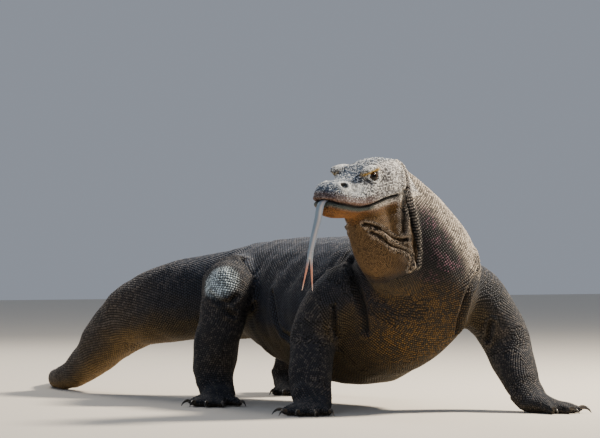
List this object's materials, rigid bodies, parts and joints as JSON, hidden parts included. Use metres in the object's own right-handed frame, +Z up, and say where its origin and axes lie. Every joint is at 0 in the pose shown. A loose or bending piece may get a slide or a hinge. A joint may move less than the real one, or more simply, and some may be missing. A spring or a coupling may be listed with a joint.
{
  "type": "komodo dragon",
  "caption": "Life-size still model of a standing Komodo dragon with its head raised and turned, forked tongue out and long tail trailing along the floor.",
  "frame": {"origin": "on the floor, at the bottom centre of the whole model's box", "axes": "+Z up; -Y the way the trunk faces, the tail trailing towards +Y; +X the animal's left"},
  "size_m": [0.6886, 2.0408, 0.5552],
  "materials": {
    "hide": "dry beaded scales, grey-brown with ochre and pale patches",
    "eye": "dark and wet",
    "tongue": "moist, smooth",
    "claw_horn": "dark polished horn"
  },
  "bodies": {
    "root": {"head": "hide", "lower_jaw": "hide", "neck": "hide", "trunk_front": "hide", "trunk_rear": "hide", "tail_1": "hide", "tail_2": "hide", "tail_3": "hide", "tail_4": "hide", "upper_arm_right_front": "hide", "forearm_right_front": "hide", "hand_right_front": "hide", "upper_arm_left_front": "hide", "forearm_left_front": "hide", "hand_left_front": "hide", "thigh_right_hind": "hide", "shin_right_hind": "hide", "foot_right_hind": "hide", "thigh_left_hind": "hide", "shin_left_hind": "hide", "foot_left_hind": "hide", "eye_left": "eye", "eye_right": "eye", "tongue": "tongue", "claw_right_front_1": "claw_horn", "claw_right_front_2": "claw_horn", "claw_right_front_3": "claw_horn", "claw_right_front_4": "claw_horn", "claw_right_front_5": "claw_horn", "claw_left_front_1": "claw_horn", "claw_left_front_2": "claw_horn", "claw_left_front_3": "claw_horn", "claw_left_front_4": "claw_horn", "claw_left_front_5": "claw_horn", "claw_right_hind_1": "claw_horn", "claw_right_hind_2": "claw_horn", "claw_right_hind_3": "claw_horn", "claw_right_hind_4": "claw_horn", "claw_right_hind_5": "claw_horn", "claw_left_hind_1": "claw_horn", "claw_left_hind_2": "claw_horn", "claw_left_hind_3": "claw_horn", "claw_left_hind_4": "claw_horn", "claw_left_hind_5": "claw_horn"}
  },
  "joints": []
}
